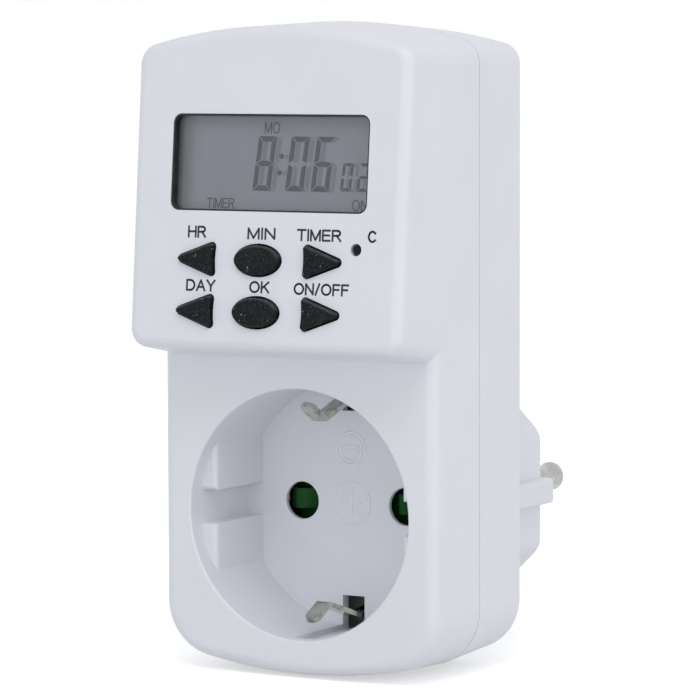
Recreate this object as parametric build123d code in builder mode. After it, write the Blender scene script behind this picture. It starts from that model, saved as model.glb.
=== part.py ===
"""Plug-in digital timer switch: an earthed plug, a socket and a seven-key clock in one casing.

Millimetres. +Z is up, +Y points into the wall, X runs to the right as seen from the front.
The origin is the middle of the plug's end face, on the axis shared by the plug and the socket.
"""

import os
from math import copysign, cos, radians, sin, sqrt, tan

from build123d import *

# ---------------------------------------------------------------- driving dimensions

# casing, built round the socket well
side_gap = 1.85
foot_gap = 2.35
step_gap = 3.15
crown_gap = 21.5
top_arc_radius = 89.0
bottom_arc_radius = 90.0
top_corner_radius = 4.1
bottom_corner_radius = 9.3
front_shell_depth = 13.3
wall = 2.0
front_draft = 2.2
rear_draft = 2.8
lower_edge_radius = 2.0
panel_edge_radius = 1.8
back_edge_radius = 2.2
seam_width = 0.2
seam_depth = 0.25
tongue_height = 1.6
tongue_clearance = 0.1

# control panel, which leans back from a step above the socket
step_slope = 10.0
step_corner_radius = 3.0
panel_lift = 11.2
panel_tilt = 5.0

# socket well
well_radius = 19.65
well_depth = 17.5
well_wall = 1.6
well_floor = 1.8
well_rim_radius = 0.4
guide_inset = 2.85
guide_start = 3.3
guide_groove_height = 5.3
guide_edge_radius = 0.8
contact_pitch = 19.0
aperture_radius = 3.0
aperture_lip = 0.8
aperture_relief = 1.2
aperture_edge_radius = 0.25
earth_slot_width = 4.0
earth_slot_inset = 4.85
earth_slot_relief = 0.65
earth_slot_start = 2.0

# plug
plug_boss_length = 19.6
plug_boss_margin = 9.9
plug_flat_margin = 7.8
plug_slope_margin = 9.4
plug_rib_height = 2.4
plug_rib_width = 4.1
plug_rib_corner = 0.6
plug_corner_radius = 2.0
plug_edge_radius = 0.5
plug_end_wall = 2.6
pin_radius = 2.4
pin_length = 19.3
pin_tip_radius = 0.8
pin_waist_radius = 1.9
pin_waist_start = 11.6
pin_waist_end = 16.2
pin_flare_length = 1.9
pin_neck_radius = 2.0
pin_recess_radius = 3.4
pin_recess_depth = 0.4
pin_flange_radius = 3.4
pin_flange_thickness = 1.2
pin_stub_radius = 1.6
pin_stub_length = 4.0
earth_groove_width = 6.0
earth_groove_depth = 2.9
earth_strip_gap = 0.1

# earth strips
strip_thickness = 0.8
strip_width = 2.5
strip_tip_radius = 1.1
strip_bend_radius = 1.0
top_clip_tip_depth = 2.7
top_clip_tip_inset = 2.55
top_clip_peak_depth = 6.95
top_clip_peak_inset = 5.2
bottom_clip_tip_depth = 3.9
bottom_clip_tip_inset = 2.6
bottom_clip_peak_depth = 8.1
bottom_clip_peak_inset = 4.75
clip_root_inset = 1.85
strip_end_depth = 3.6
strip_hook = 1.2

# display and keys, measured along the panel from its foot line
window_width = 34.46
window_height = 14.4
window_corner = 1.2
window_centre = 30.7
window_shift = 0.3
window_rim = 0.6
bezel_width = 0.25
bezel_sink = 0.15
bezel_lip = 0.3
lens_lap = 0.8
lens_thickness = 0.8
lens_margin = 1.8
lcd_width = 38.0
lcd_height = 18.0
lcd_thickness = 2.2
lcd_depth = 2.0
holder_wall = 1.0
holder_lip = 0.4
zebra_width = 2.0
key_column_pitch = 11.15
key_column_middle = -0.95
arrow_shift = 0.2
arrow_spread = 0.4
key_upper_row = 15.8
key_lower_row = 7.8
arrow_key_width = 7.2
arrow_key_height = 5.2
arrow_key_hollow = 0.25
arrow_key_corner = 0.45
oval_key_width = 7.9
oval_key_height = 4.55
reset_side_distance = 8.9
reset_row = 17.8
reset_radius = 0.65
reset_recess = 0.3
key_stand_out = 0.9
key_travel = 0.9
reset_travel = 0.7
key_clearance = 0.3
key_flange_margin = 0.75
key_flange_thickness = 0.8
key_edge_radius = 0.35
key_stem_radius = 1.5
key_pill_gap = 0.05
mat_thickness = 0.8
mat_collar_wall = 0.7

# boards
board_thickness = 1.6
control_board_depth = 8.6
control_board_side_gap = 2.1
control_board_foot = 4.8
control_board_rise = 15.1
board_notch_width = 7.2
board_notch_height = 4.2
power_board_side_gap = 3.1
power_board_lift = 0.6
power_board_top_gap = 1.1
power_board_standoff = 3.0

# on the back of the control board: width across, then height above the panel's foot line
chip_x = -9.0
chip_row = 28.0
chip_radius = 5.5
chip_height = 1.6
crystal_x = -9.0
crystal_row = 18.0
crystal_radius = 1.0
crystal_length = 6.2
cell_x = 9.0
cell_row = 31.0
cell_radius = 7.75
cell_height = 6.1
cell_standoff = 1.0
cell_edge_radius = 0.8
cell_tab_width = 3.0
cell_tab_thickness = 0.6
ribbon_row = 7.2
ribbon_width = 10.0
ribbon_thickness = 0.9
ribbon_reach = 3.6
ribbon_bend_radius = 1.4
ribbon_lift = 2.2

# on the front of the power board: width across, then height above the board's lower edge
relay_x = -9.8
relay_row = 16.0
relay_width = 15.3
relay_height = 19.2
relay_depth = 15.5
dropper_x = 9.3
dropper_row = 9.0
dropper_width = 18.0
dropper_thickness = 8.5
dropper_depth = 15.0
filter_spots = ((4.5, 21.5), (13.5, 21.5))
filter_radius = 4.0
filter_depth = 11.5
varistor_x = -10.0
varistor_row = 32.0
varistor_radius = 4.5
varistor_thickness = 3.8
diode_spots = ((5.0, 28.6), (13.0, 28.6), (5.0, 32.2), (13.0, 32.2))
diode_radius = 1.3
diode_length = 4.6
resistor_spots = ((4.3, 15.4), (13.3, 15.4))
resistor_radius = 1.15
resistor_length = 6.3
fuse_spots = ((0.0, 36.4),)
fuse_radius = 1.6
fuse_length = 9.0
lead_radius = 0.35
lead_reach = 0.9
part_edge = 0.5

# fasteners
screw_radius = 1.5
screw_head_radius = 2.6
screw_head_height = 2.0
screw_length = 15.0
screw_head_sink = 8.0
boss_radius = 2.9
rear_boss_radius = 3.5
upper_screw_inset = 7.1
upper_screw_rise = 13.3
lower_screw_angle = 45.0
small_screw_radius = 1.0
small_screw_head_radius = 1.9
small_screw_head_height = 1.2
small_screw_length = 4.6
recess_width = 0.45
small_boss_radius = 2.2
control_screw_inset = 2.4
control_screw_row = 9.6
control_top_screw_x = 9.0
control_top_screw_rise = 12.8

# socket mechanism: a sprung slider behind the apertures, and the carrier that guides it
shutter_gap = 0.6
shutter_depth = 4.4
shutter_plate = 1.0
shutter_height = 8.0
shutter_ramp_width = 5.0
shutter_ramp_height = 3.2
shutter_window_width = 5.6
shutter_window_height = 5.8
shutter_end_margin = 1.2
shutter_travel = 5.2
carrier_thickness = 1.6
carrier_rail = 1.0
carrier_side_gap = 1.3
carrier_back_gap = 1.1
spring_coil_radius = 1.4
spring_wire_radius = 0.2
spring_turns = 5
spring_seat_height = 3.2
spring_seat_depth = 3.3
carrier_screw_distance = 11.6
carrier_screw_angle = 112.0
contact_thickness = 0.6
contact_width = 5.0
contact_throat = 4.4
contact_mouth = 7.0
contact_body = 7.0
contact_length = 10.4
contact_bend_radius = 0.8
tab_shift = 2.5
tab_width = 2.0
tab_gap = 0.09
tab_end = 1.0
cage_wall = 1.0
earth_link_width = 4.0
wire_radius = 0.8
wire_bend_radius = 1.2
wire_back_gap = 0.8
wire_lift = 2.5
live_wire_z = 12.0

fit = 0.2          # assembly clearance round pieces that sit in recesses
touch = 0.02       # clearance of a screw shank in its pilot hole

# ---------------------------------------------------------------- derived places

well_outer_radius = well_radius + well_wall
casing_width = 2 * (well_outer_radius + side_gap + wall)
casing_bottom = well_outer_radius + foot_gap + wall
step_height = well_outer_radius + step_gap
casing_top = step_height + window_centre + crown_gap
carrier_depth = well_depth + well_floor + 2 * shutter_gap + shutter_depth + carrier_thickness
rear_shell_depth = carrier_depth + carrier_back_gap + wall - front_shell_depth
upper_screw_z = step_height + window_centre + upper_screw_rise
guide_half_width = well_radius - guide_inset
earth_slot_inner = well_radius - earth_slot_inset
earth_slot_outer = well_radius + earth_slot_relief
top_clip = (
    (top_clip_tip_depth, well_radius - top_clip_tip_inset),
    (top_clip_peak_depth, well_radius - top_clip_peak_inset),
)
bottom_clip = (
    (bottom_clip_tip_depth, well_radius - bottom_clip_tip_inset),
    (bottom_clip_peak_depth, well_radius - bottom_clip_peak_inset),
)
clip_root_height = well_radius - clip_root_inset
pin_x = contact_pitch / 2
plug_boss_radius = pin_x + plug_boss_margin
plug_flat_half_width = pin_x + plug_flat_margin
plug_slope_distance = pin_x + plug_slope_margin
tab_reach = pin_x + tab_shift + tab_width / 2
tab_height = min(
    sqrt((plug_boss_radius - wall - tab_gap) ** 2 - tab_reach**2),
    (plug_slope_distance - wall - tab_gap) * sqrt(2) - tab_reach,
)
contact_wire_z = tab_height - tab_end
earth_groove_inner = plug_boss_radius - earth_groove_depth
earth_rear_height = earth_groove_inner + earth_strip_gap + strip_thickness / 2
inner_half_width = casing_width / 2 - wall
control_board_width = 2 * (inner_half_width - control_board_side_gap)
power_board_width = 2 * (inner_half_width - power_board_side_gap)
power_board_bottom = step_height + power_board_lift
power_board_top = upper_screw_z - rear_boss_radius - power_board_top_gap
control_board_top = window_centre + control_board_rise
control_top_screw_row = window_centre + control_top_screw_rise
carrier_half_width = inner_half_width - carrier_side_gap
carrier_radius = carrier_screw_distance + small_boss_radius
reset_column = casing_width / 2 - reset_side_distance
control_screw_x = control_board_width / 2 - control_screw_inset
lower_screw_distance = well_outer_radius + rear_boss_radius + fit

back_y = -plug_boss_length
parting_y = back_y - rear_shell_depth
front_y = parting_y - front_shell_depth
floor_front_y = front_y + well_depth
floor_rear_y = floor_front_y + well_floor
back_inner_y = back_y - wall
carrier_front_y = floor_rear_y + shutter_gap + shutter_depth + shutter_gap
carrier_rear_y = carrier_front_y + carrier_thickness

parting_front = Plane.XZ.offset(-parting_y)
parting_rear = Plane(origin=(0, parting_y, 0), x_dir=(-1, 0, 0), z_dir=(0, 1, 0))
lower_face = Plane.XZ.offset(-front_y)
floor_rear = Plane.XZ.offset(-floor_rear_y)
casing_back = Plane.XZ.offset(-back_y)
plug_face = Plane.XZ
carrier_front = Plane.XZ.offset(-carrier_front_y)
carrier_rear = Plane.XZ.offset(-carrier_rear_y)
panel_face = Plane(
    origin=(0, front_y - panel_lift, step_height),
    x_dir=(1, 0, 0),
    z_dir=(0, -cos(radians(panel_tilt)), sin(radians(panel_tilt))),
)


def panel_layer(depth):
    """The plane that lies this deep behind the panel's face."""
    return panel_face.offset(-depth)


# ---------------------------------------------------------------- casing


def casing_outline(plane, inset=0.0):
    """Outline of the casing: straight sides between a shallow top arch and a shallow bottom arch."""
    with BuildSketch(plane) as outline:
        Rectangle(casing_width, 2 * top_arc_radius)
        with Locations((0, casing_top - top_arc_radius)):
            Circle(top_arc_radius, mode=Mode.INTERSECT)
        with Locations((0, bottom_arc_radius - casing_bottom)):
            Circle(bottom_arc_radius, mode=Mode.INTERSECT)
        fillet(outline.vertices().group_by(Axis.Y)[-1], top_corner_radius)
        fillet(outline.vertices().group_by(Axis.Y)[0], bottom_corner_radius)
        if inset > 0:
            offset(amount=-inset)
    return outline.sketch


def drafted_block(plane, depth, draft, inset=0.0):
    """Solid from the casing's outline on a plane to the same outline drawn in by the draft."""
    base = casing_outline(plane, inset)
    end = casing_outline(plane.offset(depth), inset + depth * tan(radians(draft)))
    return loft([base.faces()[0], end.faces()[0]], ruled=True)


def head_profile(inset=0.0):
    """Side view of the upper part, between the sloping underside and the leaning panel."""
    slope = tan(radians(step_slope))
    lean = tan(radians(panel_tilt))
    under = inset / cos(radians(step_slope))
    face = inset / cos(radians(panel_tilt))
    rise = (under + slope * (panel_lift - face)) / (1 + slope * lean)
    crown = casing_top - step_height + wall
    points = (
        (parting_y, step_height + under - slope * front_shell_depth),
        (front_y - panel_lift + face + lean * rise, step_height + rise),
        (front_y - panel_lift + face + lean * crown, step_height + crown),
        (parting_y, step_height + crown),
    )
    with BuildSketch(Plane.YZ) as profile:
        with BuildLine():
            Polyline(*points, close=True)
        make_face()
    return profile.sketch


def lower_form(inset=0.0):
    """The lower block of the front shell, which holds the socket."""
    with BuildPart() as form:
        add(drafted_block(parting_front, front_shell_depth - inset, front_draft, inset))
        if inset == 0:
            fillet(form.faces().sort_by(Axis.Y)[0].edges(), lower_edge_radius)
    return form.part


def head_form(inset=0.0):
    """The upper block of the front shell, behind the control panel."""
    with BuildPart() as form:
        add(drafted_block(parting_front, front_shell_depth + panel_lift, front_draft, inset))
        extrude(head_profile(inset), amount=casing_width, both=True, mode=Mode.INTERSECT)
        if inset == 0:
            underside = form.faces().sort_by(Axis.Z)[0]
            fillet(underside.edges().filter_by(Axis.X, reverse=True), step_corner_radius)
            outward = Axis((0, 0, 0), panel_face.z_dir)
            fillet(form.faces().sort_by(outward)[-1].edges(), panel_edge_radius)
    return form.part


def arrow_outline(margin=0.0, flip=1):
    """Arrow-shaped key outline: a rounded point and a back that is slightly hollow."""
    nose = -flip * arrow_key_width / 2
    back = flip * arrow_key_width / 2
    hollow = back - flip * arrow_key_hollow
    half = arrow_key_height / 2
    with BuildSketch() as outline:
        with BuildLine():
            Polyline((back, half), (nose, 0), (back, -half))
            ThreePointArc((back, -half), (hollow, 0), (back, half))
        make_face()
        fillet(outline.vertices(), arrow_key_corner)
        if margin > 0:
            offset(amount=margin)
    return outline.sketch


def oval_outline(margin=0.0):
    """Oval key outline."""
    with BuildSketch() as outline:
        Ellipse(oval_key_width / 2 + margin, oval_key_height / 2 + margin)
    return outline.sketch


def left_arrow_outline(margin=0.0):
    """Arrow key that points to the left."""
    return arrow_outline(margin, 1)


def right_arrow_outline(margin=0.0):
    """Arrow key that points to the right."""
    return arrow_outline(margin, -1)


def nib_outline(margin=0.0):
    """Round outline of the recessed reset key."""
    with BuildSketch() as outline:
        Circle(reset_radius + margin)
    return outline.sketch


key_columns = [
    key_column_middle + arrow_shift - key_column_pitch - arrow_spread,
    key_column_middle,
    key_column_middle + arrow_shift + key_column_pitch + arrow_spread,
]
KEYS = {
    "hour_key": (key_columns[0], key_upper_row, left_arrow_outline),
    "minute_key": (key_columns[1], key_upper_row, oval_outline),
    "time_key": (key_columns[2], key_upper_row, right_arrow_outline),
    "day_key": (key_columns[0], key_lower_row, left_arrow_outline),
    "ok_key": (key_columns[1], key_lower_row, oval_outline),
    "switch_key": (key_columns[2], key_lower_row, right_arrow_outline),
    "reset_key": (reset_column, reset_row, nib_outline),
}

housing_screws_xz = [
    (side * x, z)
    for x, z in (
        (casing_width / 2 - upper_screw_inset, upper_screw_z),
        (
            lower_screw_distance * cos(radians(lower_screw_angle)),
            -lower_screw_distance * sin(radians(lower_screw_angle)),
        ),
    )
    for side in (-1, 1)
]
control_screws_xv = [
    (side * x, v)
    for x, v in (
        (control_screw_x, control_screw_row),
        (control_top_screw_x, control_top_screw_row),
    )
    for side in (-1, 1)
]
carrier_screws_xz = [
    (
        side * carrier_screw_distance * cos(radians(carrier_screw_angle)),
        side * carrier_screw_distance * sin(radians(carrier_screw_angle)),
    )
    for side in (-1, 1)
]
apertures_xz = [(-pin_x, 0), (pin_x, 0)]
power_posts_xz = [
    (side * (power_board_width / 2 - small_boss_radius), z)
    for z in (power_board_bottom + small_boss_radius, power_board_top - small_boss_radius)
    for side in (-1, 1)
]
screw_seat_depth = rear_shell_depth - screw_head_sink
power_board_rear_y = back_inner_y - power_board_standoff
power_board_front_y = power_board_rear_y - board_thickness
wire_run_y = back_inner_y - wire_back_gap - wire_radius
wire_end_z = power_board_bottom + wire_lift

front_outer = lower_form() + head_form()
front_inner = lower_form(wall) + head_form(wall)

holder_width = lcd_width + 2 * (fit + holder_wall)
holder_height = lcd_height + 2 * (fit + holder_wall)

with BuildPart() as front_housing:
    add(front_outer)
    add(front_inner, mode=Mode.SUBTRACT)

    # screw bosses, from the parting plane to the front wall
    with BuildSketch(parting_front):
        with Locations(*housing_screws_xz):
            Circle(boss_radius)
    extrude(amount=front_shell_depth + panel_lift)
    add(front_outer, mode=Mode.INTERSECT)

    # socket well and its floor
    with BuildSketch(lower_face):
        Circle(well_outer_radius)
    extrude(amount=-(well_depth + well_floor))
    with BuildSketch(lower_face):
        Circle(well_radius)
    extrude(amount=-well_depth, mode=Mode.SUBTRACT)
    fillet(
        front_housing.edges()
        .filter_by(GeomType.CIRCLE)
        .filter_by(lambda e: abs(e.radius - well_radius) < touch)
        .sort_by(Axis.Y)[0],
        well_rim_radius,
    )

    # flats with a groove on both sides, which guide the plug
    with BuildSketch(lower_face.offset(-guide_start)):
        Circle(well_radius + well_wall / 2)
        Rectangle(2 * guide_half_width, 2 * well_radius + 2 * well_wall, mode=Mode.SUBTRACT)
        Rectangle(2 * well_radius + 2 * well_wall, guide_groove_height, mode=Mode.SUBTRACT)
    extrude(amount=-(well_depth - guide_start))
    guide_front_y = front_y + guide_start
    fillet(
        front_housing.edges()
        .filter_by(lambda e: abs(e.center().Y - guide_front_y) < touch)
        .filter_by(
            lambda e: abs(abs(e.center().X) - guide_half_width) < touch
            or abs(abs(e.center().Z) - guide_groove_height / 2) < touch
        ),
        guide_edge_radius,
    )

    # pin apertures, and slots for the earth clips
    with BuildSketch(lower_face.offset(-(well_depth - wall))):
        with Locations(*apertures_xz):
            Circle(aperture_radius)
    extrude(amount=-(wall + 2 * well_floor), mode=Mode.SUBTRACT)
    with BuildSketch(floor_rear):
        with Locations(*apertures_xz):
            Circle(aperture_radius + aperture_relief)
    extrude(amount=well_floor - aperture_lip, mode=Mode.SUBTRACT)
    fillet(
        front_housing.edges()
        .filter_by(GeomType.CIRCLE)
        .filter_by(
            lambda e: abs(e.radius - aperture_radius) < touch
            and abs(e.center().Y - floor_front_y) < touch
        ),
        aperture_edge_radius,
    )
    with BuildSketch(lower_face.offset(-earth_slot_start)):
        slot_middle = (earth_slot_inner + earth_slot_outer) / 2
        with Locations((0, slot_middle), (0, -slot_middle)):
            Rectangle(earth_slot_width, earth_slot_outer - earth_slot_inner)
    extrude(amount=-(well_depth + well_floor), mode=Mode.SUBTRACT)

    # bosses for the contact carrier, behind the floor
    with BuildSketch(floor_rear):
        with Locations(*carrier_screws_xz):
            Circle(small_boss_radius)
    extrude(amount=-(carrier_front_y - floor_rear_y))
    with BuildSketch(carrier_front):
        with Locations(*carrier_screws_xz):
            Circle(small_screw_radius + touch)
    extrude(amount=carrier_front_y - floor_rear_y + well_floor / 2, mode=Mode.SUBTRACT)

    # bosses for the control board, behind the panel
    with BuildSketch(panel_layer(wall / 2)):
        with Locations(*control_screws_xv):
            Circle(small_boss_radius)
    extrude(amount=-(control_board_depth - wall / 2))
    with BuildSketch(panel_layer(control_board_depth)):
        with Locations(*control_screws_xv):
            Circle(small_screw_radius + touch)
    extrude(amount=control_board_depth - wall - lens_thickness, mode=Mode.SUBTRACT)

    # display window, with a recess behind it for the bezel's flange
    with BuildSketch(panel_face):
        with Locations((window_shift, window_centre)):
            RectangleRounded(
                window_width + 2 * (bezel_width + touch),
                window_height + 2 * (bezel_width + touch),
                window_corner + bezel_width,
            )
    extrude(amount=-wall, both=True, mode=Mode.SUBTRACT)
    with BuildSketch(panel_layer(window_rim)):
        with Locations((window_shift, window_centre)):
            RectangleRounded(
                window_width + 2 * (lens_margin + fit),
                window_height + 2 * (lens_margin + fit),
                window_corner + lens_margin,
            )
    extrude(amount=-wall, mode=Mode.SUBTRACT)

    # room for the display's holder, so that a wide one relieves the bosses and walls beside it
    with BuildSketch(panel_layer(wall)):
        with Locations((window_shift, window_centre)):
            Rectangle(holder_width + 2 * touch, holder_height + 2 * touch)
    extrude(amount=-(control_board_depth - wall), mode=Mode.SUBTRACT)

    # key openings
    with BuildSketch(panel_face):
        for column, row, outline_of in KEYS.values():
            with Locations((column, row)):
                add(outline_of(key_clearance))
    extrude(amount=-wall, both=True, mode=Mode.SUBTRACT)

    # pilot holes for the housing screws, and the rebate that takes the rear shell's tongue
    with BuildSketch(parting_front):
        with Locations(*housing_screws_xz):
            Circle(screw_radius + touch)
    extrude(amount=screw_length - screw_seat_depth + fit, mode=Mode.SUBTRACT)
    rebate = casing_outline(parting_front, wall / 2) - casing_outline(parting_front, wall + fit)
    extrude(rebate, amount=tongue_height + tongue_clearance, mode=Mode.SUBTRACT)

    # shadow line along the seam
    seam = casing_outline(parting_front) - casing_outline(parting_front, seam_depth)
    extrude(seam, amount=seam_width, mode=Mode.SUBTRACT)

strip_slot = strip_thickness / 2 + fit

with BuildPart() as rear_housing:
    add(drafted_block(parting_rear, rear_shell_depth, rear_draft))
    fillet(rear_housing.faces().sort_by(Axis.Y)[-1].edges(), back_edge_radius)

    # plug boss: round, flat on both sides and on the slopes between, with a rib along each side
    with BuildSketch(plug_face) as boss_outline:
        Circle(plug_boss_radius)
        Rectangle(2 * plug_flat_half_width, 2 * plug_boss_radius, mode=Mode.INTERSECT)
        slope = 2 * plug_slope_distance
        Rectangle(slope, slope, rotation=45, mode=Mode.INTERSECT)
        fillet(boss_outline.vertices(), plug_corner_radius)
        RectangleRounded(
            2 * (plug_flat_half_width + plug_rib_height), plug_rib_width, plug_rib_corner
        )
    extrude(amount=plug_boss_length + wall / 2)
    fillet(rear_housing.faces().sort_by(Axis.Y)[-1].edges(), plug_edge_radius)

    # grooves for the earth strips, on top of and below the boss
    with BuildSketch(plug_face):
        groove_middle = earth_groove_inner + plug_boss_radius / 2
        with Locations((0, groove_middle), (0, -groove_middle)):
            Rectangle(earth_groove_width, plug_boss_radius)
    extrude(amount=plug_boss_length, mode=Mode.SUBTRACT)

    # inside of the shell and of the boss, which keeps its wall round the earth grooves
    inside = drafted_block(parting_rear, rear_shell_depth - wall, rear_draft, wall)
    add(inside, mode=Mode.SUBTRACT)
    with BuildSketch(Plane.XZ.offset(plug_end_wall)):
        Circle(plug_boss_radius - wall)
        Rectangle(2 * (plug_flat_half_width - wall), 2 * plug_boss_radius, mode=Mode.INTERSECT)
        Rectangle(slope - 2 * wall, slope - 2 * wall, rotation=45, mode=Mode.INTERSECT)
        pad_middle = earth_groove_inner - wall + plug_boss_radius / 2
        with Locations((0, pad_middle), (0, -pad_middle)):
            Rectangle(earth_groove_width + 2 * wall, plug_boss_radius, mode=Mode.SUBTRACT)
    extrude(amount=plug_boss_length + wall - plug_end_wall, mode=Mode.SUBTRACT)

    # slots that let the earth strips out through the back, and pockets for their hooked ends
    with BuildSketch(casing_back.offset(-fit)):
        with Locations((0, earth_rear_height), (0, -earth_rear_height)):
            Rectangle(strip_width + 2 * fit, 2 * strip_slot)
    extrude(amount=wall + 2 * fit, mode=Mode.SUBTRACT)
    with BuildSketch(Plane.XZ.offset(strip_end_depth - strip_slot)):
        with Locations((0, earth_groove_inner), (0, -earth_groove_inner)):
            Rectangle(strip_width + 2 * fit, 2 * strip_hook)
    extrude(amount=2 * strip_slot, mode=Mode.SUBTRACT)

    # screw bosses with sunk heads
    with BuildSketch(parting_rear):
        with Locations(*housing_screws_xz):
            Circle(rear_boss_radius)
    extrude(amount=rear_shell_depth - wall / 2)
    with BuildSketch(casing_back):
        with Locations(*housing_screws_xz):
            Circle(screw_head_radius + fit)
    extrude(amount=screw_head_sink, mode=Mode.SUBTRACT)
    with BuildSketch(casing_back):
        with Locations(*housing_screws_xz):
            Circle(screw_radius + fit)
    extrude(amount=rear_shell_depth, mode=Mode.SUBTRACT)

    # pin holes, each in a shallow recess that seats the pin's shoulder
    with BuildSketch(plug_face):
        with Locations(*apertures_xz):
            Circle(pin_neck_radius + touch)
    extrude(amount=plug_end_wall, mode=Mode.SUBTRACT)
    with BuildSketch(plug_face):
        with Locations(*apertures_xz):
            Circle(pin_recess_radius)
    extrude(amount=pin_recess_depth, mode=Mode.SUBTRACT)

    # posts for the power board
    with BuildSketch(Plane.XZ.offset(-back_inner_y)):
        with Locations(*power_posts_xz):
            Circle(small_boss_radius)
    extrude(amount=power_board_standoff)
    with BuildSketch(Plane.XZ.offset(-power_board_rear_y)):
        with Locations(*power_posts_xz):
            Circle(small_screw_radius + touch)
    extrude(amount=-power_board_standoff, mode=Mode.SUBTRACT)

    # tongue that locates the front shell
    extrude(
        casing_outline(parting_front, wall / 2 + tongue_clearance)
        - casing_outline(parting_front, wall),
        amount=tongue_height,
    )

# ---------------------------------------------------------------- display

lcd_pocket = lcd_depth + lcd_thickness
lens_depth = window_rim + bezel_lip

with BuildPart() as display_window:
    with BuildSketch(panel_layer(lens_depth)):
        with Locations((window_shift, window_centre)):
            RectangleRounded(
                window_width + 2 * lens_lap,
                window_height + 2 * lens_lap,
                window_corner + lens_lap,
            )
    extrude(amount=-lens_thickness)

with BuildPart() as lcd_glass:
    with BuildSketch(panel_layer(lcd_depth)):
        with Locations((window_shift, window_centre)):
            Rectangle(lcd_width, lcd_height)
    extrude(amount=-lcd_thickness / 2)
    with BuildSketch(panel_layer(lcd_depth + lcd_thickness / 2)):
        with Locations((window_shift, window_centre)):
            Rectangle(lcd_width, lcd_height - 2 * holder_lip)
    extrude(amount=-lcd_thickness / 2)

with BuildPart() as lcd_holder:
    with BuildSketch(panel_layer(bezel_sink)):
        with Locations((window_shift, window_centre)):
            RectangleRounded(
                window_width + 2 * bezel_width,
                window_height + 2 * bezel_width,
                window_corner + bezel_width,
            )
    extrude(amount=-wall)
    with BuildSketch(panel_layer(window_rim)):
        with Locations((window_shift, window_centre)):
            RectangleRounded(
                window_width + 2 * lens_margin,
                window_height + 2 * lens_margin,
                window_corner + lens_margin - fit,
            )
    extrude(amount=-(wall + holder_wall - window_rim))
    with BuildSketch(panel_layer(wall)):
        with Locations((window_shift, window_centre)):
            RectangleRounded(holder_width, holder_height, holder_wall)
    extrude(amount=-(control_board_depth - wall))
    with BuildSketch(panel_face):
        with Locations((window_shift, window_centre)):
            RectangleRounded(window_width, window_height, window_corner)
    extrude(amount=-lcd_depth - lcd_thickness, mode=Mode.SUBTRACT)
    with BuildSketch(panel_layer(lens_depth)):
        with Locations((window_shift, window_centre)):
            RectangleRounded(
                window_width + 2 * (lens_lap + touch),
                window_height + 2 * (lens_lap + touch),
                window_corner + lens_lap,
            )
    extrude(amount=-lcd_depth, mode=Mode.SUBTRACT)
    with BuildSketch(panel_layer(lcd_depth)):
        with Locations((window_shift, window_centre)):
            Rectangle(lcd_width + 2 * fit, lcd_height + 2 * fit)
    extrude(amount=-control_board_depth, mode=Mode.SUBTRACT)

with BuildPart() as zebra_strips:
    with BuildSketch(panel_layer(lcd_pocket)):
        strip_offset = (lcd_height - zebra_width) / 2
        with Locations(
            (window_shift, window_centre + strip_offset),
            (window_shift, window_centre - strip_offset),
        ):
            Rectangle(lcd_width - 2 * holder_wall, zebra_width)
    extrude(amount=-(control_board_depth - lcd_pocket))

# ---------------------------------------------------------------- keys

flange_depth = wall + key_clearance
stem_depth = flange_depth + key_flange_thickness
stem_end_depth = control_board_depth - key_travel - key_pill_gap
collar_depth = stem_depth + key_travel + key_clearance
mat_depth = control_board_depth - mat_thickness


def key_cap(name, stand_out):
    """One key: a crowned cap through the panel, a flange behind it and a stem with a contact pill."""
    column, row, outline_of = KEYS[name]
    with BuildPart() as key:
        with BuildSketch(panel_layer(-stand_out)):
            with Locations((column, row)):
                add(outline_of(0.0))
        extrude(amount=-(stand_out + flange_depth))
        if stand_out > 0:
            outward = Axis((0, 0, 0), panel_face.z_dir)
            fillet(key.faces().sort_by(outward)[-1].edges(), key_edge_radius)
        with BuildSketch(panel_layer(flange_depth)):
            with Locations((column, row)):
                add(outline_of(key_flange_margin))
        extrude(amount=-key_flange_thickness)
        with BuildSketch(panel_layer(stem_depth)):
            with Locations((column, row)):
                Circle(key_stem_radius)
        extrude(amount=-(stem_end_depth - stem_depth))
    return key.part


keys = {
    name: key_cap(name, -reset_recess if name == "reset_key" else key_stand_out)
    for name in KEYS
}

with BuildPart() as keypad_mat:
    with BuildSketch(panel_layer(mat_depth)):
        mat_top = reset_row + key_stem_radius + key_clearance + mat_collar_wall
        mat_middle = (control_board_foot + fit + mat_top) / 2
        with Locations((0, mat_middle)):
            Rectangle(control_board_width - 2 * fit, mat_top - control_board_foot - fit)
        with Locations(*control_screws_xv[:2]):
            Circle(small_boss_radius + fit, mode=Mode.SUBTRACT)
    extrude(amount=-mat_thickness)
    with BuildSketch(panel_layer(collar_depth)):
        for column, row, outline_of in KEYS.values():
            with Locations((column, row)):
                Circle(key_stem_radius + key_clearance + mat_collar_wall)
    extrude(amount=-(mat_depth - collar_depth))
    with BuildSketch(panel_layer(collar_depth)):
        for column, row, outline_of in KEYS.values():
            with Locations((column, row)):
                Circle(key_stem_radius + key_clearance)
    extrude(amount=-control_board_depth, mode=Mode.SUBTRACT)

# ---------------------------------------------------------------- control board

with BuildPart() as control_board:
    with BuildSketch(panel_layer(control_board_depth)):
        board_height = control_board_top - control_board_foot
        with Locations((0, control_board_foot + board_height / 2)):
            Rectangle(control_board_width, board_height)
        notch_x = (control_board_width - board_notch_width) / 2
        notch_v = control_board_top - board_notch_height / 2
        with Locations((-notch_x, notch_v), (notch_x, notch_v)):
            Rectangle(board_notch_width, board_notch_height, mode=Mode.SUBTRACT)
        with Locations(*control_screws_xv):
            Circle(small_screw_radius + fit, mode=Mode.SUBTRACT)
    extrude(amount=-board_thickness)



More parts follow.
